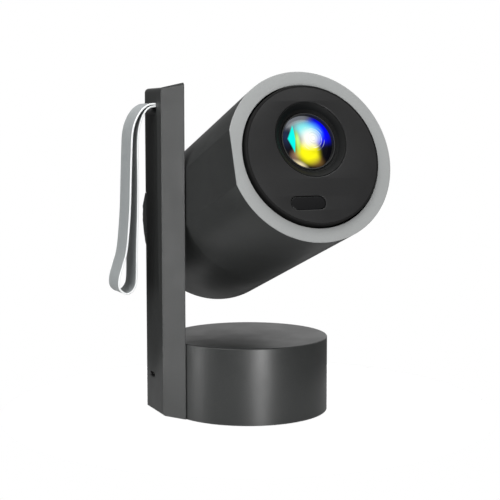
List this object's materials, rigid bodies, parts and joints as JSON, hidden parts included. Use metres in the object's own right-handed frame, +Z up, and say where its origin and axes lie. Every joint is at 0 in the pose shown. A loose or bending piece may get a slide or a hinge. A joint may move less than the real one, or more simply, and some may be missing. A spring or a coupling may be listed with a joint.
{
  "type": "home projector",
  "caption": "Home projector: a round head with a recessed lens tilts on a slim side arm above a round weighted base; a carrying strap hangs from the arm.",
  "frame": {"origin": "centre of the foot pad's underside, on the axis of the round base", "axes": "+Z up, -Y the way the lens looks, -X towards the side arm"},
  "size_m": [0.1461, 0.2044, 0.2303],
  "materials": {
    "body_plastic": "fine satin graphite lacquer",
    "base_plastic": "moulded, fine grain",
    "foot_rubber": "matt silicone",
    "screw_steel": "black zinc",
    "ballast_iron": "as cast",
    "post_brass": "turned",
    "board_green": "solder mask",
    "part_black": "moulded",
    "arm_plastic": "fine satin graphite lacquer",
    "chassis_plastic": "moulded, fine grain",
    "hinge_steel": "ground",
    "key_plastic": "satin",
    "socket_steel": "nickel plated",
    "strap_fabric": "flat woven band with pale edges",
    "ring_paint": "satin light grey",
    "panel_plastic": "satin black",
    "bezel_plastic": "piano black",
    "window_plastic": "infrared-clear black",
    "clear_plate": "ribbed acrylic",
    "lcd_glass": "flat panel glass",
    "lens_glass": "coated",
    "sink_aluminium": "extruded",
    "led_yellow": "phosphor",
    "barrel_plastic": "matt black",
    "gear_plastic": "acetal",
    "rotor_plastic": "moulded",
    "cone_paper": "pressed paper",
    "washer_nylon": "nylon"
  },
  "bodies": {
    "stand": {"base_shell": "body_plastic", "base_plate": "base_plastic", "foot_pad": "foot_rubber", "base_screws": "screw_steel", "ballast_weight": "ballast_iron", "board_posts": "post_brass", "power_board": "board_green", "power_parts": "part_black", "arm_base_screws": "screw_steel", "arm_cover": "arm_plastic", "arm_chassis": "chassis_plastic", "arm_screws": "screw_steel", "hinge_plate": "hinge_steel", "hinge_bush": "post_brass", "strap_pin": "hinge_steel", "key_board": "board_green", "key_switch": "part_black", "inlet_board": "board_green", "power_inlet": "socket_steel", "strap_anchor": "strap_fabric"},
    "head": {"condenser_lens": "lens_glass", "engine_housing": "part_black", "engine_screws": "screw_steel", "fan_frame": "part_black", "focus_motor": "socket_steel", "fresnel_front": "clear_plate", "fresnel_rear": "clear_plate", "friction_washers": "post_brass", "front_panel": "panel_plastic", "front_ring": "ring_paint", "hdmi_socket": "socket_steel", "head_shell": "body_plastic", "heat_sink": "sink_aluminium", "hinge_nut": "hinge_steel", "hinge_screws": "screw_steel", "hinge_shaft": "hinge_steel", "hinge_washer": "washer_nylon", "lcd_panel": "lcd_glass", "led_board": "sink_aluminium", "led_chip": "led_yellow", "lens_bezel": "bezel_plastic", "lens_holder": "part_black", "main_board": "board_green", "motor_plate": "hinge_steel", "rear_cover": "panel_plastic", "rear_screws": "screw_steel", "sensor_module": "part_black", "sensor_window": "window_plastic", "speaker_box": "part_black", "speaker_cone": "cone_paper", "usb_socket": "socket_steel"},
    "strap": {"strap_loop": "strap_fabric"},
    "power_key": {"power_key": "key_plastic"},
    "lens_group": {"lens_barrel": "barrel_plastic", "front_lens": "lens_glass", "middle_lens": "lens_glass", "rear_lens": "lens_glass"},
    "focus_ring": {"focus_ring": "gear_plastic"},
    "motor_pinion": {"motor_pinion": "post_brass"},
    "fan_rotor": {"fan_rotor": "rotor_plastic"}
  },
  "joints": [
    {"name": "head_tilt", "type": "hinge", "parent": "stand", "child": "head", "pos_m": [-0.0526, 0.01705, 0.139], "axis": [-1, 0, 0], "range_deg": [-34, 70.9]},
    {"name": "strap_swing", "type": "hinge", "parent": "stand", "child": "strap", "pos_m": [-0.0654, 0.0207, 0.2106], "axis": [0, 1, 0], "range_deg": [0, 60]},
    {"name": "power_press", "type": "slide", "parent": "stand", "child": "power_key", "axis": [0, -1, 0], "range_m": [0, 0.0006], "stiffness_N_per_m": 1500, "springref_m": -0.0004},
    {"name": "focus_turn", "type": "hinge", "parent": "head", "child": "focus_ring", "pos_m": [0, -0.062, 0.17674], "axis": [0, -0.9449, 0.3272], "range_deg": [-60, 60]},
    {"name": "focus_travel", "type": "slide", "parent": "head", "child": "lens_group", "axis": [0, -0.9449, 0.3272], "range_m": [-0.0015, 0.0015]},
    {"name": "pinion_spin", "type": "hinge", "parent": "head", "child": "motor_pinion", "pos_m": [0.02121, -0.06894, 0.15669], "axis": [0, -0.9449, 0.3272], "range_deg": [-240, 240]},
    {"name": "fan_spin", "type": "hinge", "parent": "head", "child": "fan_rotor", "pos_m": [0, 0.05234, 0.13714], "axis": [0, -0.9449, 0.3272], "continuous": true}
  ],
  "couplings": [
    {"joint": "focus_turn", "follows": "focus_travel", "rad_per_m": 698.13},
    {"joint": "pinion_spin", "follows": "focus_travel", "rad_per_m": -2792.5}
  ]
}
